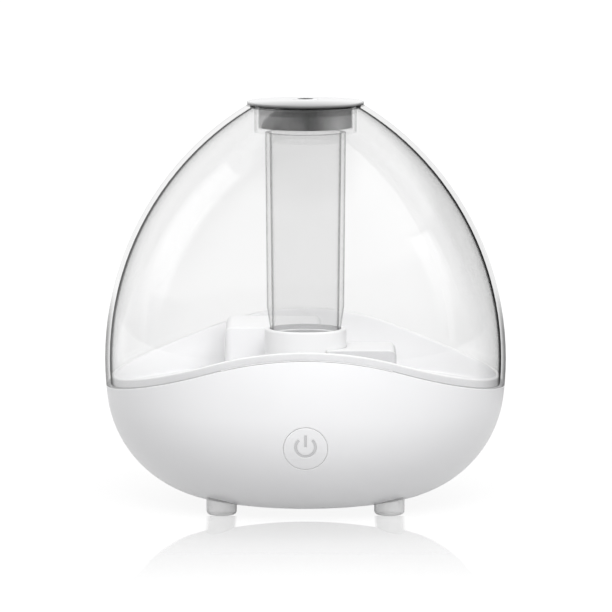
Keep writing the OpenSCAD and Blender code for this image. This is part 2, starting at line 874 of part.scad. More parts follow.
module fan_rotor() color([0.2, 0.2, 0.21]) {
    blades = 7;
    blade_t = 1;
    blade_w = 14;
    blade_turn = 42;
    tip_gap = 0.5;
    rotor_h = rotor_high - rotor_low;
    translate([fan_x, fan_y, fan_under]) {
        difference() {
            translate([0, 0, rotor_low]) cylinder(r = hub_r, h = rotor_h);
            translate([0, 0, rotor_low - over])
                cylinder(r = hub_r - rotor_wall, h = rotor_h - rotor_wall - 0.2 + over);
        }
        translate([0, 0, shaft_low]) cylinder(r = shaft_r, h = rotor_high - shaft_low - 0.5, $fn = 32);
        intersection() {
            translate([0, 0, rotor_low])
                ring(fan_bore_r - tip_gap, hub_r - rotor_wall / 2, rotor_h);
            for (i = [0 : blades - 1]) rotate([0, 0, i * 360 / blades])
                translate([fan_bore_r / 2, 0, (rotor_low + rotor_high) / 2])
                    rotate([blade_turn, 0, 0])
                        cube([fan_bore_r + 2, blade_t, blade_w], center = true);
        }
    }
}

module rotor_magnet() color(BLACK) {
    translate([fan_x, fan_y, fan_under + rotor_low + 0.2]) ring(hub_r - rotor_wall - bite, 6.4, 5);
}

module fan_gasket() color(BLACK) {
    translate([fan_x, fan_y, fan_top + gasket_gap])
        ring(chimney_r + 0.2, chimney_r - basin_wall + 0.2, floor_under - fan_top - 2 * gasket_gap);
}

module fan_screws() color(STEEL) {
    at_fan_corners(fan_under - bite) small_screw(fan_h + 3);
}

// ---- Power button and its switch ----

module power_symbol(grow = 0) {
    symbol_r = 5.35;
    line = 1.2;
    rise = 0.9;
    gap_turn = 42;
    bar_h = 6;
    translate([0, rise]) {
        difference() {
            circle(r = symbol_r + grow);
            circle(r = symbol_r - line - grow);
            polygon([[0, 0], for (a = [90 - gap_turn, 90, 90 + gap_turn])
                2 * symbol_r * [cos(a), sin(a)]]);
        }
        translate([-line / 2 - grow, -grow]) square([line + 2 * grow, bar_h + 2 * grow]);
    }
}

module power_button() color(WHITE) {
    difference() {
        union() {
            intersection() {
                front_prism(button_h, flange_front - eps, body_r) circle(r = button_r);
                outline_solid();
            }
            front_prism(button_h, flange_front - flange_h, flange_front) circle(r = flange_r);
            front_prism(button_h, stem_end, flange_front) circle(r = stem_r);
        }
        difference() {
            front_prism(button_h, sleeve_end, body_r + over) power_symbol(bite);
            outline_solid(icon_depth + bite);
        }
    }
}

module button_icon() color([0.6, 0.6, 0.62]) {
    difference() {
        intersection() {
            front_prism(button_h, sleeve_end, body_r) power_symbol();
            outline_solid(icon_inset);
        }
        outline_solid(icon_depth);
    }
}

module switch_plunger() color(BLACK) {
    front_prism(button_h, stem_end - plunger_h, stem_end) circle(r = plunger_r, $fn = 48);
}

module tact_switch() color(BLACK) {
    difference() {
        front_prism(button_h, switch_board_y, tact_front) square(tact_w, center = true);
        front_prism(button_h, tact_front - plunger_h - 0.1, tact_front + over)
            circle(r = plunger_r + 2 * bite, $fn = 48);
    }
}

module switch_board() color(GREEN) {
    difference() {
        front_prism(button_h, switch_board_y - board_t, switch_board_y)
            square([switch_board_w, switch_board_h], center = true);
        for (side = [-1, 1])
            front_prism(button_h, switch_board_y - board_t - over, switch_board_y + over)
                translate([side * switch_post_x, 0])
                    circle(r = small_shank_r + pass_gap, $fn = 32);
    }
}

module indicator_led() color([0.9, 0.95, 1]) {
    led_r = 1.5;
    led_h = 2.6;
    front_prism(button_h, switch_board_y, switch_board_y + led_h)
        translate([-7, 5]) circle(r = led_r, $fn = 32);
}

// ---- Main board ----

module main_board() color(GREEN) {
    difference() {
        translate([-board_w / 2, board_y - board_d / 2, board_z]) cube([board_w, board_d, board_t]);
        for (x = [-1, 1], y = [-1, 1])
            translate([x * board_hole_x, board_y + y * board_hole_y, board_z - over])
                cylinder(r = small_shank_r + pass_gap, h = board_t + 2 * over, $fn = 32);
    }
}

module board_parts() color(BLACK) {
    translate([0, 0, board_top]) {
        for (p = [fan_plug, disc_plug, switch_plug, jack_plug, sensor_plug])
            translate([p[0] - connector_w / 2, p[1] - connector_d / 2, 0])
                cube([connector_w, connector_d, connector_h]);
        capacitor();
        chip();
        coil();
    }
}

module capacitor() {
    translate([14, -32, 0]) cylinder(r = 4, h = 11);
}

module chip() {
    translate([-4, -26, 0]) cube([8, 6, 1.4]);
}

module coil() {
    translate([-24, -12, 0]) cylinder(r = 4.5, h = 8);
}

module heat_sink() color(STEEL) {
    fins = 5;
    fin_t = 1.6;
    fin_h = 12;
    plate_h = 2;
    sink_w = 16;
    sink_d = 12;
    translate([-24, -34, board_top]) {
        cube([sink_w, sink_d, plate_h]);
        for (i = [0 : fins - 1]) translate([i * (sink_w - fin_t) / (fins - 1), 0, 0])
            cube([fin_t, sink_d, fin_h]);
    }
}

// Four screws for the main board and two for the switch board
module board_screws() color(STEEL) {
    for (x = [-1, 1], y = [-1, 1])
        translate([x * board_hole_x, board_y + y * board_hole_y, board_top + bite])
            rotate([180, 0, 0]) small_screw(small_screw_h);
    for (side = [-1, 1])
        translate([side * switch_post_x, board_t - switch_board_y + bite, button_h])
            rotate([90, 0, 0]) small_screw(small_screw_h);
}

// ---- Inlet ----

// A round rod on the inlet's axis, from one depth to another
module inlet_rod(from, to, r) {
    translate([jack_x, from, jack_h]) rotate([-90, 0, 0]) cylinder(r = r, h = to - from, $fn = 48);
}

module dc_jack() color(BLACK) {
    difference() {
        union() {
            inlet_rod(jack_back - jack_body_h, jack_back, jack_body_r);
            inlet_rod(jack_back - jack_body_h, barrel_end, barrel_r);
        }
        inlet_rod(barrel_end - socket_depth, barrel_end + over, socket_r);
    }
}

module jack_pin() color(STEEL) {
    inlet_rod(barrel_end - socket_depth, barrel_end - 1, jack_pin_r);
}

module jack_nut() color(STEEL) {
    nut_r = 6.2;
    nut_h = 1.8;
    difference() {
        translate([jack_x, well_y + bite, jack_h]) rotate([-90, 0, 0])
            cylinder(r = nut_r, h = nut_h, $fn = 6);
        inlet_rod(well_y - over, well_y + nut_h + over, barrel_r + bite);
    }
}

// ---- Air intake ----

module intake_grille() color(WHITE) {
    slot_w = 2;
    slot_pitch = 4;
    slots_each_side = 3;
    holder_h = foam_h + 0.4;
    catch_w = 4;
    catch_h = 1;
    catch_reach = 0.6;
    translate([0, 0, floor_h]) {
        difference() {
            cylinder(r = grille_r, h = grille_h);
            for (i = [-slots_each_side : slots_each_side]) {
                x = i * slot_pitch;
                half = sqrt(pow(foam_r - 2, 2) - x * x);
                translate([x - slot_w / 2, -half, -over])
                    cube([slot_w, 2 * half, grille_h + 2 * over]);
            }
        }
        translate([0, 0, grille_h - eps]) ring(intake_r - grille_gap, foam_r + grille_gap, holder_h);
        for (turn = [0 : 90 : 270]) rotate([0, 0, turn])
            translate([intake_r + catch_reach - 1.4, -catch_w / 2, bowl_wall + 0.2])
                cube([1.4, catch_w, catch_h]);
    }
}

module filter_foam() color(DARK) {
    translate([0, 0, floor_h + grille_h + 0.1]) cylinder(r = foam_r, h = foam_h);
}

// ---- Feet and base screws ----

// A foot, hollowed on top for the head of the screw above it
module foot(x, y) color([0.86, 0.87, 0.88]) {
    hollow_r = base_head_r + 0.5;
    hollow_h = base_head_h + 0.4;
    translate([x * foot_at, y * foot_at, 0]) rotate_extrude() difference() {
        union() {
            square([foot_r - foot_edge, foot_top]);
            translate([0, foot_edge]) square([foot_r, foot_top - foot_edge]);
            translate([foot_r - foot_edge, foot_edge]) circle(r = foot_edge, $fn = 48);
        }
        translate([-over, foot_top - hollow_h]) square([hollow_r + over, hollow_h + over]);
        translate([-foot_r, -over]) square([foot_r, foot_top + 2 * over]);
    }
}

module base_screws() color(STEEL) {
    for (p = foot_places) translate([p[1] * foot_at, p[2] * foot_at, socket_top - bite])
        screw(base_shank_r, base_head_r, base_head_h, base_screw_h);
}

// ---- Leads inside the base ----

function unit(v) = v / norm(v);
function bezier(p, t) = pow(1 - t, 3) * p[0] + 3 * t * pow(1 - t, 2) * p[1]
    + 3 * t * t * (1 - t) * p[2] + pow(t, 3) * p[3];
function heading(p, t) = unit(bezier(p, min(t + 0.01, 1)) - bezier(p, max(t - 0.01, 0)));
function lead_ring(p, t) =
    let (h = heading(p, t), u = unit(cross(h, [0.9, -0.35, 0.25])), v = cross(h, u))
    [for (k = [0 : LEAD_SIDES - 1]) bezier(p, t)
        + LEAD_R * (cos(360 * k / LEAD_SIDES) * u + sin(360 * k / LEAD_SIDES) * v)];

// One wire along a curve that leaves its start and reaches its end upright or level
module lead(p) {
    n = LEAD_SIDES;
    rings = [for (i = [0 : LEAD_STEPS]) each lead_ring(p, i / LEAD_STEPS)];
    sides = [for (i = [0 : LEAD_STEPS - 1], k = [0 : n - 1])
        [i * n + k, i * n + (k + 1) % n, (i + 1) * n + (k + 1) % n, (i + 1) * n + k]];
    start = [for (k = [n - 1 : -1 : 0]) k];
    finish = [for (k = [0 : n - 1]) LEAD_STEPS * n + k];
    polyhedron(points = rings, faces = concat(sides, [start, finish]));
}

// Two wires side by side, from the top of a connector to a point
module lead_pair(plug, end, end_pull, apart) {
    top = [plug[0], plug[1], board_top + connector_h + lead_gap];
    rise = [0, 0, 6];
    for (side = [-1, 1]) {
        first = top + [side * lead_pitch, 0, 0];
        last = end + side * apart;
        lead([first, first + rise, last + end_pull, last]);
    }
}

module fan_leads() color(BLACK)
    lead_pair(fan_plug, [fan_x - 6, fan_y - fan_w / 2 - lead_gap, fan_under + 4],
        [0, -8, 0], [lead_pitch, 0, 0]);

module transducer_leads() color([0.7, 0.15, 0.12])
    lead_pair(disc_plug, [2, -1, disc_under - lead_gap], [0, 0, -8], [2, 0, 0]);

module switch_leads() color([0.8, 0.8, 0.8])
    lead_pair(switch_plug, [0, board_t - switch_board_y + LEAD_R + lead_gap, button_h - 6],
        [0, 0, -10], [lead_pitch, 0, 0]);

module jack_leads() color([0.7, 0.15, 0.12])
    lead_pair(jack_plug, [jack_x, jack_back - jack_body_h - lead_gap, jack_h], [0, -18, 0], [1.6, 0, 0]);

module sensor_leads() color(BLACK)
    lead_pair(sensor_plug, [float_x - 3, 0, floor_under - 0.1 - sensor_h - lead_gap],
        [0, 0, -8], [1.2, 0, 0]);

clear_dome();
nozzle_cup();
mist_tube();
nozzle_cap();
nozzle_skirt();
nozzle_baffle();
base_shell();
basin();
air_chimney();
float_post();
mist_collar();
air_cover();
float_cover();
float();
float_magnet();
float_clip();
float_sensor();
transducer_disc();
transducer_seal();
transducer_clamp();
clamp_screws();
fan_housing();
fan_stator();
fan_rotor();
rotor_magnet();
fan_gasket();
fan_screws();
power_button();
button_icon();
switch_plunger();
tact_switch();
switch_board();
indicator_led();
main_board();
board_parts();
heat_sink();
board_screws();
dc_jack();
jack_pin();
jack_nut();
intake_grille();
filter_foam();
base_screws();
fan_leads();
transducer_leads();
switch_leads();
jack_leads();
sensor_leads();
foot(-1, -1);  // foot_front_left
foot(1, -1);  // foot_front_right
foot(-1, 1);  // foot_rear_left
foot(1, 1);  // foot_rear_right
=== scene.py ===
"""Looks of the cool mist humidifier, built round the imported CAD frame, in metres."""

import json
import math

import bpy
import numpy as np
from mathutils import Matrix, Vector


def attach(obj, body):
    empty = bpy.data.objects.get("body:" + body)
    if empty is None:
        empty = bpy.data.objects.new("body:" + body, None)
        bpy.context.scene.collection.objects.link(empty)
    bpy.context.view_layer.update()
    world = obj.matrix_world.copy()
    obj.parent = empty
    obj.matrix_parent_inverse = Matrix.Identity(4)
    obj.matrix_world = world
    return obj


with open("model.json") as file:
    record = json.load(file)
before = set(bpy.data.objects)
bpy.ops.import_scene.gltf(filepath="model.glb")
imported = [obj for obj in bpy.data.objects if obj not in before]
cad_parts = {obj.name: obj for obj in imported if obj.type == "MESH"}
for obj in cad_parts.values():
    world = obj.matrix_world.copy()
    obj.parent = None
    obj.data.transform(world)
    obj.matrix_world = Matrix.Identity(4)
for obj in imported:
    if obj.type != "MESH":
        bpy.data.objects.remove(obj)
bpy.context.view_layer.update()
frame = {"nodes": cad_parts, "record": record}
NODES = frame["nodes"]
MM = 0.001
scene = bpy.context.scene

# ---- Sizes of the CAD part, in millimetres ----

BODY_R = 100.0
RIM_H = 199.0
BELLY_H = 72.6
CORNER_R = 57.4
UNDER_R = 174.5
UNDER_X = 18.7
FLOOR_H = 2.5
FLAT_R = 40.0
DOME_WALL = 2.3
LIP_INSET = 2.9
BASIN_WALL = 2.0
CUP_R = 25.4
SPIGOT_R = 18.2
FLANGE_H = 197.5
MIST_HOLE_R = 4.05
COLLAR_BORE_R = 18.4
COLLAR_SEAT_H = 95.0
BUTTON_H = 40.0
BUTTON_R = 10.6
BUTTON_HOLE_R = 10.9

# The body's outline is three arcs in (radius, height): a side arc, a corner arc and an under arc,
# each tangent to the next. These are the arcs' centres, and the turns where they meet.
CUP_OVERLAP = 0.37
SIDE_RUN = BODY_R - DOME_WALL - CUP_R + CUP_OVERLAP
SIDE_RISE = RIM_H - BELLY_H
SIDE_R = DOME_WALL + (SIDE_RUN ** 2 + SIDE_RISE ** 2) / (2 * SIDE_RUN)
SIDE_X = BODY_R - SIDE_R
UNDER_Z = FLOOR_H + math.sqrt(UNDER_R ** 2 - (FLAT_R - UNDER_X) ** 2)
SPAN = math.hypot(UNDER_X - SIDE_X, UNDER_Z - BELLY_H)
ALONG = ((SIDE_R - CORNER_R) ** 2 - (UNDER_R - CORNER_R) ** 2 + SPAN ** 2) / (2 * SPAN)
ACROSS = math.sqrt((SIDE_R - CORNER_R) ** 2 - ALONG ** 2)
DIR_X = (UNDER_X - SIDE_X) / SPAN
DIR_Z = (UNDER_Z - BELLY_H) / SPAN
CORNER_X = SIDE_X + ALONG * DIR_X + ACROSS * DIR_Z
CORNER_Z = BELLY_H + ALONG * DIR_Z - ACROSS * DIR_X
SIDE_TURN = math.atan2(CORNER_Z - BELLY_H, CORNER_X - SIDE_X)
UNDER_TURN = math.atan2(CORNER_Z - UNDER_Z, CORNER_X - UNDER_X)


def outline_normals(points):
    """For points (n, 3) in mm: their depth under the outline, and the outline's outward normals."""
    r = np.hypot(points[:, 0], points[:, 1])
    z = points[:, 2]
    on_side = np.arctan2(z - BELLY_H, r - SIDE_X) >= SIDE_TURN
    on_under = ~on_side & (np.arctan2(z - UNDER_Z, r - UNDER_X) < UNDER_TURN)
    x0 = np.where(on_side, SIDE_X, np.where(on_under, UNDER_X, CORNER_X))
    z0 = np.where(on_side, BELLY_H, np.where(on_under, UNDER_Z, CORNER_Z))
    radius = np.where(on_side, SIDE_R, np.where(on_under, UNDER_R, CORNER_R))
    out_r, out_z = r - x0, z - z0
    reach = np.hypot(out_r, out_z)
    turn = np.arctan2(points[:, 1], points[:, 0])
    normals = np.stack([out_r * np.cos(turn), out_r * np.sin(turn), out_z], 1)
    return radius - reach, normals / reach[:, None]


def row_dots(a, b):
    """The dot product of each row of a with the same row of b."""
    return np.einsum("ij,ij->i", a, b)


# ---- Node trees ----


class NodeTree:
    """A small builder of one tree of shader nodes."""

    def __init__(self, tree):
        self.tree = tree
        tree.nodes.clear()

    def join(self, value, socket):
        """Links a socket, or sets a constant on it."""
        if isinstance(value, bpy.types.NodeSocket):
            self.tree.links.new(value, socket)
        else:
            socket.default_value = value

    def add(self, kind, inputs=None, **settings):
        node = self.tree.nodes.new(kind)
        for key, value in settings.items():
            setattr(node, key, value)
        for key, value in (inputs or {}).items():
            self.join(value, node.inputs[key])
        return node

    def math(self, operation, a, b=0.0):
        return self.add("ShaderNodeMath", {0: a, 1: b}, operation=operation).outputs[0]

    def product(self, *factors):
        result = factors[0]
        for factor in factors[1:]:
            result = self.math("MULTIPLY", result, factor)
        return result

    def spread(self, value, low, high, from_low=0.3, from_high=0.7):
        """Maps from_low to low and from_high to high, and holds them beyond. A noise lies
        mostly between 0.3 and 0.7."""
        return self.add("ShaderNodeMapRange", {
            "Value": value, "From Min": from_low, "From Max": from_high,
            "To Min": low, "To Max": high}).outputs["Result"]

    def blend(self, factor, a, b):
        """A mix of two numbers."""
        return self.add("ShaderNodeMix", {"Factor": factor, "A": a, "B": b}).outputs[0]

    def split(self, vector):
        """The x, y and z of a vector."""
        return self.add("ShaderNodeSeparateXYZ", {0: vector}).outputs

    def path(self):
        return self.add("ShaderNodeLightPath").outputs


class Shader(NodeTree):
    """A small builder of one node material. Noise scales are in cycles per metre."""

    BEVEL_SAMPLES = 8
    # The cosines between a rounded edge and its face where the painted edge tone is full, and
    # where there is none.
    PAINTED_EDGE_COSINES = (0.8, 0.99)

    def __init__(self, name):
        self.material = bpy.data.materials.new(name)
        self.material.use_nodes = True
        super().__init__(self.material.node_tree)
        self.output = self.add("ShaderNodeOutputMaterial")

    def where(self):
        return self.add("ShaderNodeTexCoord").outputs["Object"]

    def place(self):
        """The object coordinates, apart."""
        return self.split(self.where())

    def noise(self, scale, detail=2.0, roughness=0.5):
        return self.add("ShaderNodeTexNoise", {
            "Vector": self.where(), "Scale": scale, "Detail": detail,
            "Roughness": roughness}).outputs["Fac"]

    def ramp(self, value, stops):
        """A colour ramp through (place, colour) stops."""
        node = self.add("ShaderNodeValToRGB", {"Fac": value})
        elements = node.color_ramp.elements
        while len(elements) < len(stops):
            elements.new(0.5)
        for element, (place, colour) in zip(elements, stops):
            element.position = place
            element.color = (*colour, 1.0)
        return node.outputs["Color"]

    def curve(self, value, stops):
        """A number along (place, number) stops."""
        return self.ramp(value, [(place, (number,) * 3) for place, number in stops])

    def mottle(self, flow, colour, share):
        """A colour that is up to a share darker where the flow is low."""
        return self.ramp(flow, [(0.3, tuple(c * (1.0 - share) for c in colour)), (0.7, colour)])

    def vary(self, flow, middle, share):
        """A number that runs a share below and above its middle with the flow."""
        return self.spread(flow, middle * (1.0 - share), middle * (1.0 + share))

    def mix(self, factor, a, b):
        """A mix of two colours."""
        node = self.add("ShaderNodeMix", {"Factor": factor}, data_type="RGBA")
        for socket, value in ((node.inputs[6], a), (node.inputs[7], b)):
            self.join((*value, 1.0) if isinstance(value, tuple) else value, socket)
        return node.outputs[2]

    def facing(self):
        """How far the surface turns away from the eye."""
        return self.add("ShaderNodeLayerWeight", {"Blend": 0.5}).outputs["Facing"]

    def rounded(self, edge_mm):
        """The normals of edges rounded to a radius."""
        return self.add("ShaderNodeBevel", {"Radius": edge_mm * MM},
                        samples=self.BEVEL_SAMPLES).outputs[0]

    def paint_edge_tone(self, tint, rounded, painted_edge_tone):
        """A tint with another tone painted along the rounded edges: a painted highlight where it is
        paler, a painted dark edge line where it is darker.
        """
        flat = self.add("ShaderNodeNewGeometry").outputs["Normal"]
        same = self.add("ShaderNodeVectorMath", {0: rounded, 1: flat},
                        operation="DOT_PRODUCT").outputs["Value"]
        return self.mix(self.spread(same, 1.0, 0.0, *self.PAINTED_EDGE_COSINES), tint, painted_edge_tone)

    def bump(self, height, strength, depth_mm, normal=None):
        inputs = {"Strength": strength, "Distance": depth_mm * MM, "Height": height}
        if normal is not None:
            inputs["Normal"] = normal
        return self.add("ShaderNodeBump", inputs).outputs[0]

    def principled(self, tint, rough, **inputs):
        return self.add("ShaderNodeBsdfPrincipled", {
            "Base Color": tint, "Roughness": rough, **inputs}).outputs[0]

    def through(self, tint):
        """Lets light straight through, tinted."""
        return self.add("ShaderNodeBsdfTransparent", {"Color": tint}).outputs[0]

    def mix_shaders(self, share, a, b):
        return self.add("ShaderNodeMixShader", {0: share, 1: a, 2: b}).outputs[0]

    def show(self, shader):
        self.tree.links.new(shader, self.output.inputs["Surface"])
        return self.material


def grey(value):
    return (value,) * 3


# ---- Materials ----

PLASTIC_IOR = 1.48
RUBBER_IOR = 1.42
SKIRT_IOR = 1.28
GRAIN_DEPTH_MM = 0.05
WAVE_DEPTH_MM = 0.1
FLOW_SCALE = 18.0
CLEAR_ROUGH = 0.02


def moulded(s, tint, flow, rough, grain_mm, bump, rounded):
    """Moulded plastic with fine spark-eroded grain and faint flow in its gloss."""
    surface = s.bump(s.noise(1.0 / (grain_mm * MM)), bump, GRAIN_DEPTH_MM, rounded)
    return s.show(s.principled(tint, s.vary(flow, rough, 0.08), Normal=surface, IOR=PLASTIC_IOR))


def plastic(name, colour, rough, grain_mm=0.35, bump=0.02, edge_mm=0.3, painted_edge_tone=None, low=None):
    """Moulded plastic or rubber with faint flow in its colour, and edges that are a little
    rounded, with a painted highlight or painted edge tone along them. low is a colour of painted
    shade for what lies deep, and the heights in mm where it is full and where it ends."""
    s = Shader(name)
    flow = s.noise(FLOW_SCALE, 3.0)
    tint = s.mottle(flow, colour, 0.03)
    # Painted shade on what lies deep.
    if low is not None:
        painted_shade_colour, low_full, low_end = low
        painted_deep_shade = s.spread(s.place()[2], 1.0, 0.0, low_full * MM, low_end * MM)
        tint = s.mix(painted_deep_shade, tint, painted_shade_colour)
    rounded = s.rounded(edge_mm)
    # Painted highlight, or painted edge tone, along the rounded edges.
    if painted_edge_tone is not None:
        tint = s.paint_edge_tone(tint, rounded, painted_edge_tone)
    return moulded(s, tint, flow, rough, grain_mm, bump, rounded)


def plastic_with_painted_shade(name, colour, painted_shade_colour, low, high, front, rough):
    """White plastic with painted shade: it darkens towards a lower edge, between two heights in
    mm, and by a share towards its front, between two distances from the axis in mm."""
    s = Shader(name)
    flow = s.noise(FLOW_SCALE, 3.0)
    place = s.place()
    wavy = s.math("ADD", place[2], s.spread(flow, -0.04 * MM, 0.04 * MM))
    share, near, far = front
    ahead = s.math("MULTIPLY", place[1], -1.0)
    top = s.mix(s.spread(ahead, 0.0, share, near * MM, far * MM), colour, painted_shade_colour)
    tint = s.mix(s.spread(wavy, 0.0, 1.0, low * MM, high * MM), painted_shade_colour, top)
    return moulded(s, tint, flow, rough, 0.4, 0.02, s.rounded(0.3))


# Painted reflections: tones round the skirt, from the back past the left to the front, and
# past the right back again. Then the painted shade, dark streak and pale glare.
SKIRT_PAINTED_REFLECTION_BANDS = ((0.0, 0.06), (0.36, 0.06), (0.4, 0.05), (0.43, 0.12), (0.47, 0.1), (0.505, 0.02),
               (0.53, 0.05), (0.57, 0.16), (0.63, 0.24), (0.68, 0.1), (0.8, 0.03), (1.0, 0.06))
# How the painted glare's and streak's slanted edges lean with the height.
SKIRT_GLARE_SLOPE = 65.0
SKIRT_PAINTED_SHADE = (0.012, 0.012, 0.013)
SKIRT_PAINTED_STREAK = (0.008, 0.008, 0.009)
SKIRT_PAINTED_GLARE = (0.46, 0.46, 0.465)


def skirt_rubber(name):
    """Dark silicone, dipped: its tone runs round it in soft bands of painted reflection, its top is
    darker with painted shade, and its left side has a painted pale glare up to a slanted dark
    streak."""
    s = Shader(name)
    place = s.place()
    turn = s.math("ARCTAN2", place[0], s.math("MULTIPLY", place[1], -1.0))
    turn = s.math("ADD", turn, s.spread(s.noise(60.0), -0.08, 0.08))
    tint = s.curve(s.spread(turn, 0.0, 1.0, -math.pi, math.pi), SKIRT_PAINTED_REFLECTION_BANDS)
    below_rim = s.math("SUBTRACT", RIM_H * MM, place[2])
    slant = s.math("ADD", turn, s.math("MULTIPLY", below_rim, SKIRT_GLARE_SLOPE))
    painted_glare = s.product(s.spread(slant, 1.0, 0.0, -0.66, -0.54), s.spread(turn, 0.0, 1.0, -1.9, -1.3))
    painted_streak = s.product(s.spread(slant, 0.0, 0.9, -0.58, -0.5),
                       s.spread(slant, 1.0, 0.0, -0.4, -0.25))
    tint = s.mix(painted_streak, tint, SKIRT_PAINTED_STREAK)
    tint = s.mix(painted_glare, tint, SKIRT_PAINTED_GLARE)
    # Painted shade under the cap darkens the skirt's top.
    top = s.product(s.spread(place[2], 0.0, 0.8, 190.5 * MM, 196.5 * MM),
                    s.math("SUBTRACT", 1.0, painted_glare))
    tint = s.mix(top, tint, SKIRT_PAINTED_SHADE)
    grain = s.noise(2800.0)
    return s.show(s.principled(tint, s.spread(grain, 0.27, 0.33), IOR=SKIRT_IOR,
                               Normal=s.bump(grain, 0.05, GRAIN_DEPTH_MM)))


def clear(name, through_stops, mirror_stops, low_stops=None):
    """Clear plastic, one side of a wall: it lets light through unbent, and the shares that it
    lets through and mirrors run along how far it turns away from the eye. low_stops take over
    from through_stops at the dome's foot. Lamps shine through it."""
    s = Shader(name)
    facing = s.facing()
    mirror = s.curve(facing, mirror_stops)
    line = s.curve(facing, through_stops)
    if low_stops is not None:
        low = s.spread(s.place()[2], 1.0, 0.0, 86 * MM, 106 * MM)
        line = s.mix(low, line, s.curve(facing, low_stops))
    flow = s.noise(30.0)
    shine = s.add("ShaderNodeBsdfGlossy", {
        "Color": (1, 1, 1, 1), "Roughness": s.vary(flow, CLEAR_ROUGH, 0.3),
        "Normal": s.bump(flow, 0.02, WAVE_DEPTH_MM)}).outputs[0]
    wall = s.mix_shaders(mirror, s.through(line), shine)
    path = s.path()
    lit = s.math("MAXIMUM", path["Is Shadow Ray"], path["Is Diffuse Ray"])
    return s.show(s.mix_shaders(lit, wall, s.through((1, 1, 1, 1))))


def milky(name, colour, painted_edge_shade, through_stops, rough, edge_mm):
    """Milky rubber that lets some light straight through where it's seen head on, and has a
    painted dark line along its rounded edges.
    """
    s = Shader(name)
    share = s.curve(s.facing(), through_stops)
    flow = s.noise(120.0, 3.0)
    rounded = s.rounded(edge_mm)
    tint = s.paint_edge_tone(s.mottle(flow, colour, 0.06), rounded, painted_edge_shade)
    body = s.principled(tint, s.vary(flow, rough, 0.1), Normal=rounded, IOR=RUBBER_IOR)
    return s.show(s.mix_shaders(share, body, s.through((0.97, 0.97, 0.97, 1))))


def metal(name, colour, rough):
    """Metal with fine scratches."""
    s = Shader(name)
    scratch = s.noise(900.0, 4.0, 0.6)
    return s.show(s.principled(s.mottle(scratch, colour, 0.1),
                               s.spread(scratch, rough * 0.8, rough * 1.25), Metallic=1.0))


# Painted highlight tones, this one and the satin white's 0.97 grey, go along rounded edges.
PAINTED_HIGHLIGHT = grey(0.99)
WHITE = plastic("white satin plastic", (0.755, 0.755, 0.765), 0.32, edge_mm=0.6,
                painted_edge_tone=grey(0.97))
# The float cover's sides and front, painted darker than its top, as painted shade.
FRONT_PAINTED_SHADE = plastic("white float cover, painted shade on front", (0.66, 0.66, 0.67), 0.35, edge_mm=1.3,
                      painted_edge_tone=PAINTED_HIGHLIGHT)
# The body's white plastic painted lighter, as painted light on the collar, chimney and float cover
# top under the dome.
PAINTED_LIGHT_WHITE = plastic("white plastic, painted lighter", (0.88, 0.88, 0.885), 0.35, edge_mm=1.3,
                    painted_edge_tone=PAINTED_HIGHLIGHT)
# The air cover's white plastic, painted lighter than the body as painted light on its shaded sides;
# its top is painted lighter still, as painted light where the nozzle cap shades it.
COVER_WHITE = plastic("white cover plastic", (0.85, 0.85, 0.86), 0.35, edge_mm=1.1,
                      painted_edge_tone=PAINTED_HIGHLIGHT)
COVER_TOP_PAINTED_LIGHT = plastic("white cover top, painted light", (0.96, 0.96, 0.965), 0.35, edge_mm=1.1,
                    painted_edge_tone=PAINTED_HIGHLIGHT)
# The basin's walls: white plastic painted lighter as painted light, with painted shade low down,
# full at 56 mm and gone at 67 mm.
BASIN_WHITE = plastic("white basin wall plastic", (0.93, 0.93, 0.935), 0.35, edge_mm=2.5,
                      painted_edge_tone=PAINTED_HIGHLIGHT, low=((0.8, 0.8, 0.805), 56.0, 67.0))
# The lip's face under the dome's edge, painted darker as painted shade.
LIP_PAINTED_SHADE = plastic("white lip, painted shade", (0.64, 0.64, 0.65), 0.3, edge_mm=2.0, painted_edge_tone=PAINTED_HIGHLIGHT)
# The collar's bore, painted darker as painted shade.
SHADE_WHITE = plastic("white bore, painted shade", (0.55, 0.55, 0.56), 0.4, edge_mm=0.5)
# The nozzle cap, with painted shade on its lower edge and towards its front.
CAP_WHITE = plastic_with_painted_shade("white cap, painted shade", (0.8, 0.8, 0.805), grey(0.03), 199.9, 201.3,
                   (0.62, 6.0, 27.0), 0.25)
# A dark tone on the wall of the cap's mist hole, as painted shade.
HOLE_PAINTED_SHADE = plastic("dark grey hole, painted shade", (0.1, 0.1, 0.102), 0.5)
FROSTED_RIM = plastic("frosted clear plastic edge", grey(0.97), 0.3)
GREY_RUBBER = plastic("dark grey silicone", (0.05, 0.05, 0.052), 0.3, bump=0.05)
SKIRT_GREY = skirt_rubber("dark grey skirt silicone")
BLACK_RUBBER = plastic("black rubber", grey(0.035), 0.6, bump=0.08)
ICON = plastic("grey print", (0.55, 0.55, 0.56), 0.4)
STEEL = metal("steel", (0.72, 0.73, 0.75), 0.28)
BLACK_PLASTIC = plastic("black plastic", (0.03, 0.03, 0.033), 0.42, bump=0.06)
COPPER = metal("copper", (0.75, 0.42, 0.22), 0.35)
LAMP = plastic("lamp lens", (0.75, 0.82, 0.9), 0.12)
ALUMINIUM = metal("aluminium", (0.7, 0.71, 0.73), 0.4)
BOARD = plastic("green board", (0.03, 0.16, 0.07), 0.3)
FOAM = plastic("open foam", (0.06, 0.06, 0.065), 0.95, grain_mm=1.2, bump=1.0)
BLACK_WIRE = plastic("black wire cover", grey(0.03), 0.4)
RED_WIRE = plastic("red wire cover", (0.4, 0.04, 0.03), 0.4)
GREY_WIRE = plastic("grey wire cover", (0.4, 0.4, 0.41), 0.4)
# Feet of milky rubber, with a painted dark line along their rounded edges.
FOOT_RUBBER = milky("milky rubber", (0.97, 0.97, 0.975), (0.45, 0.45, 0.46),
                    [(0.0, 0.62), (0.5, 0.5), (0.8, 0.1), (1.0, 0.0)], 0.35, 0.6)

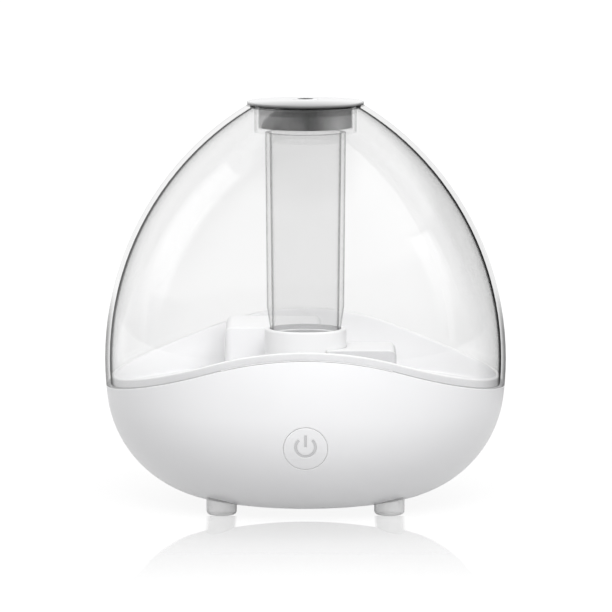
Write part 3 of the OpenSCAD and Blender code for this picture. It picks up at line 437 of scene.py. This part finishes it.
# Clear plastic: the share let through, then the share mirrored, each along the turn away.
CLEAR_OUT = clear(
    "clear plastic outside",
    [(0.0, 0.965), (0.7, 0.965), (0.8, 0.93), (0.93, 0.9), (1.0, 0.75)],
    [(0.0, 0.035), (0.2, 0.04), (0.48, 0.13), (0.8, 0.12), (1.0, 0.25)],
    low_stops=[(0.0, 0.965), (0.7, 0.96), (0.8, 0.85), (0.86, 0.55), (0.93, 0.4), (1.0, 0.35)])
CLEAR_IN = clear(
    "clear plastic inside",
    [(0.0, 0.965), (0.62, 0.955), (0.7, 0.92), (0.76, 0.86), (0.815, 0.78), (0.845, 0.5),
     (0.88, 0.08), (1.0, 0.1)],
    [(0.0, 0.035), (0.2, 0.04), (0.48, 0.13), (0.75, 0.1), (0.85, 0.03), (1.0, 0.03)])
DARK_RIM = clear("clear dome edge", [(0.0, 0.75), (1.0, 0.6)], [(0.0, 0.03), (1.0, 0.05)])
DOME_MOUTH = clear("clear dome mouth", [(0.0, 0.9), (0.7, 0.7), (1.0, 0.5)],
                   [(0.0, 0.02), (1.0, 0.04)])
# The flange's top and side let little through, as a painted dark band of shade under the cap.
FLANGE_RIM = clear("clear flange edge", [(0.0, 0.9), (0.7, 0.4), (1.0, 0.15)],
                   [(0.0, 0.03), (1.0, 0.05)])
FLANGE_SIDE = clear("clear flange side", [(0.0, 0.4), (0.6, 0.5), (1.0, 0.2)],
                    [(0.0, 0.02), (1.0, 0.05)])
CUP_OUT = clear("clear cup outside", [(0.0, 0.97), (0.6, 0.96), (0.8, 0.85), (1.0, 0.7)],
                [(0.0, 0.02), (0.5, 0.02), (0.8, 0.05), (1.0, 0.15)])
CUP_IN = clear("clear cup inside", [(0.0, 0.97), (0.6, 0.96), (0.8, 0.8), (1.0, 0.6)],
               [(0.0, 0.02), (0.5, 0.02), (1.0, 0.06)])
CUP_FLOOR = clear("clear cup floor", [(0.0, 0.97), (1.0, 0.95)], [(0.0, 0.02), (1.0, 0.03)])
SPIGOT = clear("clear spigot", [(0.0, 0.97), (1.0, 0.97)], [(0.0, 0.01), (1.0, 0.02)])
TUBE_OUT = clear(
    "clear tube outside",
    [(0.0, 0.955), (0.45, 0.955), (0.55, 0.94), (0.7, 0.9), (0.78, 0.72), (1.0, 0.66)],
    [(0.0, 0.035), (0.4, 0.04), (0.7, 0.08), (1.0, 0.2)])
TUBE_IN = clear(
    "clear tube inside",
    [(0.0, 0.955), (0.5, 0.955), (0.62, 0.93), (0.7, 0.68), (1.0, 0.6)],
    [(0.0, 0.035), (0.4, 0.04), (0.7, 0.06), (1.0, 0.08)])
TUBE_RIM = clear("clear plastic edge", [(0.0, 0.9), (0.7, 0.7), (1.0, 0.3)],
                 [(0.0, 0.04), (0.6, 0.06), (1.0, 0.2)])

SLOT_LOOKS = {"clear_plastic": CLEAR_OUT, "white_plastic": WHITE, "grey_rubber": GREY_RUBBER,
              "black_rubber": BLACK_RUBBER, "icon_grey": ICON, "steel": STEEL,
              "black_plastic": BLACK_PLASTIC, "copper": COPPER, "lamp": LAMP,
              "aluminium": ALUMINIUM, "green_board": BOARD, "foam": FOAM,
              "black_wire": BLACK_WIRE, "red_wire": RED_WIRE, "grey_wire": GREY_WIRE,
              "foot_rubber": FOOT_RUBBER}

# ---- Looks of the CAD nodes ----

SHARP_TURN = math.radians(32)
# How near a face lies to the outline or an offset of it, in mm, and how squarely it faces out.
NEAR_CORNER, SQUARE_CORNER = 0.15, 0.97
NEAR_FACE, SQUARE_FACE = 0.2, 0.9
LEVEL_FACE = 0.8
TOP_FACE = 0.7
# The dome's rim is frosted across its front, this far to each side.
FROSTED_X = 41.0
# A height over the whole object, so that a bore is painted all the way up.
ABOVE_CAP_H = 204.0


def vectors(items, attribute):
    """A vector attribute of each item, as an (n, 3) array."""
    values = np.zeros(len(items) * 3)
    items.foreach_get(attribute, values)
    return values.reshape(-1, 3)


def integers(items, attribute):
    """A whole number of each item."""
    values = np.zeros(len(items), np.int32)
    items.foreach_get(attribute, values)
    return values


def smooth_outline(node, insets):
    """Gives a CAD node the true outline's normals where its faces lie on the outline or on an
    offset of it."""
    mesh = NODES[node].data
    normal = vectors(mesh.corner_normals, "vector")
    totals = integers(mesh.polygons, "loop_total")
    face_of = np.repeat(np.arange(len(totals)), totals)
    vertex = integers(mesh.loops, "vertex_index")
    depth, outward = outline_normals(vectors(mesh.vertices, "co") / MM)
    depth, outward = depth[vertex], outward[vertex]
    facing = row_dots(outward, vectors(mesh.polygons, "normal")[face_of])
    for inset in insets:
        near = (np.abs(depth - inset) < NEAR_CORNER) & (np.abs(facing) > SQUARE_CORNER)
        normal[near] = outward[near] * np.sign(facing[near])[:, None]
    mesh.normals_split_custom_set(normal)


def paint(node, *materials):
    """Gives a CAD node these materials. Its faces keep the first, unless they are sorted."""
    mesh = NODES[node].data
    mesh.materials.clear()
    for material in materials:
        mesh.materials.append(material)


def paint_faces(node, materials, sort):
    """Gives each face of a CAD node one of the materials, as sort(centres, normals) says."""
    paint(node, *materials)
    faces = NODES[node].data.polygons
    choice = sort(vectors(faces, "center") / MM, vectors(faces, "normal"))
    faces.foreach_set("material_index", choice.astype(np.int32))


def dome_parts(centres, normals):
    """0 outside, 1 inside, 2 front of the rim, 3 rest of the rim, 4 mouth."""
    depth, outward = outline_normals(centres)
    facing = row_dots(outward, normals)
    outside = (depth < NEAR_FACE) & (facing > SQUARE_FACE)
    inside = (np.abs(depth - DOME_WALL) < NEAR_FACE) & (facing < -SQUARE_FACE)
    front = (np.abs(centres[:, 0]) < FROSTED_X) & (centres[:, 1] < 0)
    mouth = centres[:, 2] > FLANGE_H
    return np.select([outside, inside, mouth, front], [0, 1, 4, 2], 3)


def round_sides(centres, normals):
    """0 outside, 1 inside, 2 level faces."""
    outward = row_dots(centres[:, :2], normals[:, :2])
    level = np.abs(normals[:, 2]) > LEVEL_FACE
    return np.where(level, 2, np.where(outward > 0, 0, 1))


def cup_parts(centres, normals):
    """The round sides, then 3 spigot, 4 top of the flange, 5 side of the flange."""
    near = np.hypot(centres[:, 0], centres[:, 1]) < SPIGOT_R
    part = np.where(near, 3, round_sides(centres, normals))
    flange = centres[:, 2] > FLANGE_H
    return np.where(flange & (part == 2), 4, np.where(flange & (part == 0), 5, part))


def lip_side(centres, normals):
    """1 where the basin's lip faces the dome."""
    depth, outward = outline_normals(centres)
    facing = row_dots(outward, normals)
    return (np.abs(depth - LIP_INSET) < NEAR_FACE) & (facing > SQUARE_FACE)


def bore_side(bore_r, below):
    """1 on the walls of a bore, up to a height."""
    def sort(centres, normals):
        inward = row_dots(centres[:, :2], normals[:, :2]) < 0
        near = np.hypot(centres[:, 0], centres[:, 1]) < bore_r
        return near & inward & (centres[:, 2] < below)
    return sort


def top_side(centres, normals):
    """1 on top."""
    return normals[:, 2] > TOP_FACE


for row in frame["record"]["subparts"]:
    paint(row["node"], SLOT_LOOKS[row["material_slot"]])
for node in NODES.values():
    for polygon in node.data.polygons:
        polygon.use_smooth = True
    node.data.set_sharp_from_angle(angle=SHARP_TURN)

smooth_outline("base_shell", [0.0])
smooth_outline("basin", [LIP_INSET, LIP_INSET + BASIN_WALL])
smooth_outline("clear_dome", [0.0, DOME_WALL])

paint_faces("clear_dome", (CLEAR_OUT, CLEAR_IN, FROSTED_RIM, DARK_RIM, DOME_MOUTH), dome_parts)
paint_faces("nozzle_cup", (CUP_OUT, CUP_IN, CUP_FLOOR, SPIGOT, FLANGE_RIM, FLANGE_SIDE), cup_parts)
paint_faces("mist_tube", (TUBE_OUT, TUBE_IN, TUBE_RIM), round_sides)
# Painted shade where the basin's lip faces the dome.
paint_faces("basin", (BASIN_WHITE, LIP_PAINTED_SHADE), lip_side)
# Painted light on the air cover's top faces.
paint_faces("air_cover", (COVER_WHITE, COVER_TOP_PAINTED_LIGHT), top_side)
# Painted shade on the float cover's sides and front; its top is painted lighter.
paint_faces("float_cover", (FRONT_PAINTED_SHADE, PAINTED_LIGHT_WHITE), top_side)
# Painted shade on the wall of the cap's mist hole.
paint_faces("nozzle_cap", (CAP_WHITE, HOLE_PAINTED_SHADE), bore_side(MIST_HOLE_R, ABOVE_CAP_H))
# Painted shade on the collar's bore; the rest is painted lighter.
paint_faces("mist_collar", (PAINTED_LIGHT_WHITE, SHADE_WHITE), bore_side(COLLAR_BORE_R, COLLAR_SEAT_H))
paint("nozzle_skirt", SKIRT_GREY)
paint("air_chimney", PAINTED_LIGHT_WHITE)

# ---- Seal round the power button ----

SEAL_TURNS = 128
SEAL_SHARP_TURN = math.radians(50)
SEAL_BOTTOM = 1.2
SEAL_SHOULDER = 0.32
SEAL_CREST = 0.22


def corner_radius(z):
    """The outline's radius at a height on its corner arc, in mm."""
    return CORNER_X + math.sqrt(CORNER_R ** 2 - (z - CORNER_Z) ** 2)


def build_button_seal():
    """A thin soft ring in the gap round the button, a little under the surface."""
    inner, outer = BUTTON_R + 0.05, BUTTON_HOLE_R - 0.01
    profile = [(inner, SEAL_BOTTOM), (inner, SEAL_SHOULDER), ((inner + outer) / 2, SEAL_CREST),
               (outer, SEAL_SHOULDER), (outer, SEAL_BOTTOM)]
    points, faces = [], []
    for i in range(SEAL_TURNS):
        turn = 2 * math.pi * i / SEAL_TURNS
        for radius, depth in profile:
            x, z = radius * math.cos(turn), BUTTON_H + radius * math.sin(turn)
            y = depth - math.sqrt(corner_radius(z) ** 2 - x ** 2)
            points.append((x * MM, y * MM, z * MM))
    count = len(profile)
    for i in range(SEAL_TURNS):
        here, there = i * count, (i + 1) % SEAL_TURNS * count
        for j in range(count):
            k = (j + 1) % count
            faces.append((here + j, here + k, there + k, there + j))
    mesh = bpy.data.meshes.new("button_seal")
    mesh.from_pydata(points, [], faces)
    mesh.shade_smooth()
    mesh.set_sharp_from_angle(angle=SEAL_SHARP_TURN)
    mesh.materials.append(WHITE)
    seal = bpy.data.objects.new("button_seal", mesh)
    scene.collection.objects.link(seal)
    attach(seal, "base")


build_button_seal()

# ---- Stage: floor, world, lamp and camera ----

FLOOR_HALF = 12.0
PAPER_TONE = (0.61, 0.61, 0.61, 1)
# What a camera or a mirror sees of the floor: a little of the light on it, and a glow that grows
# with the distance from the axis.
SEEN_TONE = (0.1, 0.1, 0.1, 1)
SEEN_GLOW = (0.91, 1.0, 0.25, 0.9)
# In mirrors, a dark flag stands behind on the right. These are the shares of the way back and of
# the way right where it starts and where it is full, how it starts on the floor, and its glow.
FLAG_BACK = (0.33, 0.6)
FLAG_RIGHT = (0.15, 0.4)
FLAG_REACH = (0.3, 0.5)
FLAG_FLOOR_GLOW = 0.08
FLAG_GLOW = 0.05
# The mirrored patch in front of the object: its strength and its half-width in cm, by the
# distance in front of the axis in mm. Between the feet it starts further out, behind an arc.
PATCH_MM = 300
PATCH_ROUGH = 0.03
PATCH_FADE = ((46, 0.0), (47, 0.33), (110, 0.33), (124, 0.3), (154, 0.25), (183, 0.2),
              (212, 0.15), (241, 0.09), (268, 0.04), (296, 0.0))
PATCH_HALF = ((50, 4.8), (92, 4.8), (108, 5.6), (123, 6.1), (154, 6.8), (184, 7.3), (212, 7.6),
              (241, 8.0), (296, 8.6))
FEET_X = (0.0335, 0.035)
ARC_Y = (-0.0665, -0.0645)
ARC_BEND = 15.0
# Diffuse light from the world, by height: at the horizon and overhead.
SKY_LIGHT = (0.33, 1.0, 0.1, 0.9)
# What mirrors see of the world, by height: a white line at the floor, a pale studio, and a
# ceiling that dims.
STUDIO = 0.82
WHITE_LINE = (1.0, 0.0, -0.16, -0.06)
CEILING = (1.0, 0.25, 0.86, 0.96)
FLAG_TOP = (1.0, 0.0, 0.38, 0.56)
# Softboxes and glows on the studio's wall, for mirrors only: gain; the turns from the front to
# the right between which each fades in and out; the heights where it fades in; and a slanted edge:
# its slope against the turn, then as spread() takes it.
SOFTBOXES = (
    (0.5, (-2.14, -2.07), (-1.69, -1.66), (0.05, 0.36), (-0.24, (1.0, 0.0, 1.235, 1.25))),
    (0.8, (1.5, 1.53), (1.85, 1.88), (0.08, 0.4), (0.2, (1.0, 0.0, 0.86, 0.875))),
    (-0.3, (-1.65, -1.63), (-1.5, -1.1), (0.2, 0.6), None),
    (0.5, (0.3, 1.2), (1.5, 1.53), (0.15, 0.55), None),
    (0.5, (1.5, 1.53), (1.6, 2.4), None, (0.2, (0.0, 1.0, 0.86, 0.9))))


def patch_share(s, where):
    """How much the floor mirrors at a place. Across, lengths are in tenths of a metre."""
    ahead = s.spread(where[1], 0.0, 1.0, 0.0, -PATCH_MM * MM)
    fade = s.curve(ahead, [(y / PATCH_MM, share) for y, share in PATCH_FADE])
    half = s.curve(ahead, [(y / PATCH_MM, width / 10) for y, width in PATCH_HALF])
    aside = s.math("ABSOLUTE", where[0])
    beside = s.math("SUBTRACT", half, s.math("MULTIPLY", aside, 10.0))
    inside = s.spread(beside, 0.0, 1.0, -0.01, 0.01)
    bend = s.math("MULTIPLY", s.math("MULTIPLY", aside, aside), ARC_BEND)
    arc = s.math("ADD", where[1], bend)
    gap = s.product(s.spread(aside, 1.0, 0.0, *FEET_X), s.spread(arc, 0.0, 1.0, *ARC_Y))
    return s.product(fade, inside, s.math("SUBTRACT", 1.0, gap))


def build_floor():
    corners = [(-FLOOR_HALF, -FLOOR_HALF, 0), (FLOOR_HALF, -FLOOR_HALF, 0),
               (FLOOR_HALF, FLOOR_HALF, 0), (-FLOOR_HALF, FLOOR_HALF, 0)]
    mesh = bpy.data.meshes.new("floor")
    mesh.from_pydata(corners, [], [(0, 1, 2, 3)])
    floor = bpy.data.objects.new("floor", mesh)
    scene.collection.objects.link(floor)
    s = Shader("white gloss floor")
    path = s.path()
    seen = s.math("MAXIMUM", path["Is Camera Ray"],
                  s.math("MAXIMUM", path["Is Glossy Ray"], path["Is Transmission Ray"]))
    where = s.place()
    reach = s.math("SQRT", s.math("ADD", s.math("MULTIPLY", where[0], where[0]),
                                  s.math("MULTIPLY", where[1], where[1])))
    flag = s.product(s.spread(s.math("DIVIDE", where[1], reach), 0.0, 1.0, *FLAG_BACK),
                     s.spread(s.math("DIVIDE", where[0], reach), 0.0, 1.0, *FLAG_RIGHT),
                     s.spread(reach, 0.0, 1.0, *FLAG_REACH), path["Is Glossy Ray"])
    bright = s.product(s.spread(reach, *SEEN_GLOW),
                       s.spread(flag, 1.0, FLAG_FLOOR_GLOW, 0.0, 1.0))
    glow = s.add("ShaderNodeEmission", {"Color": (1, 1, 1, 1), "Strength": bright}).outputs[0]
    paper = s.add("ShaderNodeBsdfDiffuse", {"Color": PAPER_TONE}).outputs[0]
    shade = s.add("ShaderNodeBsdfDiffuse", {"Color": SEEN_TONE}).outputs[0]
    lit = s.add("ShaderNodeAddShader", {0: shade, 1: glow}).outputs[0]
    mirror = s.add("ShaderNodeBsdfGlossy", {"Color": (1, 1, 1, 1),
                                            "Roughness": PATCH_ROUGH}).outputs[0]
    share = s.product(patch_share(s, where), path["Is Camera Ray"])
    white = s.mix_shaders(seen, paper, lit)
    mesh.materials.append(s.show(s.mix_shaders(share, white, mirror)))


def mirrored_studio(t, way):
    """The strength that mirrors see in a direction of the world."""
    flag = t.product(t.spread(way[1], 0.0, 1.0, *FLAG_BACK),
                     t.spread(way[0], 0.0, 1.0, *FLAG_RIGHT), t.spread(way[2], *FLAG_TOP))
    side = t.blend(flag, STUDIO, FLAG_GLOW)
    turn = t.math("ARCTAN2", way[0], t.math("MULTIPLY", way[1], -1.0))
    for gain, rise, fall, heights, edge in SOFTBOXES:
        shape = [t.spread(turn, 0.0, 1.0, *rise), t.spread(turn, 1.0, 0.0, *fall)]
        if heights is not None:
            shape.append(t.spread(way[2], 0.0, 1.0, *heights))
        if edge is not None:
            slope, cut = edge
            slanted = t.math("ADD", way[2], t.math("MULTIPLY", turn, slope))
            shape.append(t.spread(slanted, *cut))
        side = t.math("ADD", side, t.product(*shape, gain))
    side = t.product(side, t.spread(way[2], *CEILING))
    return t.blend(t.spread(way[2], *WHITE_LINE), side, 1.0)


def build_world():
    world = bpy.data.worlds.new("studio")
    scene.world = world
    world.use_nodes = True
    t = NodeTree(world.node_tree)
    path = t.path()
    way = t.split(t.add("ShaderNodeTexCoord").outputs["Generated"])
    seen = t.math("MAXIMUM", path["Is Camera Ray"], path["Is Transmission Ray"])
    light = t.spread(way[2], *SKY_LIGHT)
    strength = t.blend(path["Is Glossy Ray"], light, mirrored_studio(t, way))
    background = t.add("ShaderNodeBackground", {
        "Color": (1, 1, 1, 1), "Strength": t.blend(seen, strength, 1.0)}).outputs[0]
    t.tree.links.new(background, t.add("ShaderNodeOutputWorld").inputs["Surface"])


def aim(item, place, target):
    """Puts a lamp or camera at a place, and turns it to a target."""
    item.location = place
    item.rotation_mode = "QUATERNION"
    item.rotation_quaternion = (Vector(target) - Vector(place)).to_track_quat("-Z", "Y")


def build_lamp():
    """The overhead softbox, which gives light and isn't mirrored."""
    width, height, radiance = 1.2, 1.0, 6.0
    data = bpy.data.lights.new("overhead softbox", "AREA")
    data.shape = "RECTANGLE"
    data.size, data.size_y = width, height
    data.energy = radiance * width * height * math.pi
    lamp = bpy.data.objects.new("overhead softbox", data)
    scene.collection.objects.link(lamp)
    aim(lamp, (0.15, -1.2, 1.2), (0.0, 0.0, 0.08))
    lamp.visible_camera = False
    lamp.visible_glossy = False


def build_camera():
    """The photo's view: far off in front, and a little above the horizon."""
    camera = bpy.data.objects.new("camera", bpy.data.cameras.new("camera"))
    scene.collection.objects.link(camera)
    scene.camera = camera
    aim(camera, (0.0, -2.8, 0.42), (0.0, 0.0, 0.09943))
    camera.data.sensor_width = 36.0
    camera.data.lens = 332.4
    camera.data.shift_x = 0.0008
    camera.data.shift_y = -0.00245
    camera.data.clip_end = 60.0


build_floor()
build_world()
build_camera()
build_lamp()

scene.view_settings.view_transform = "Standard"
scene.cycles.max_bounces = 16
scene.cycles.transparent_max_bounces = 32
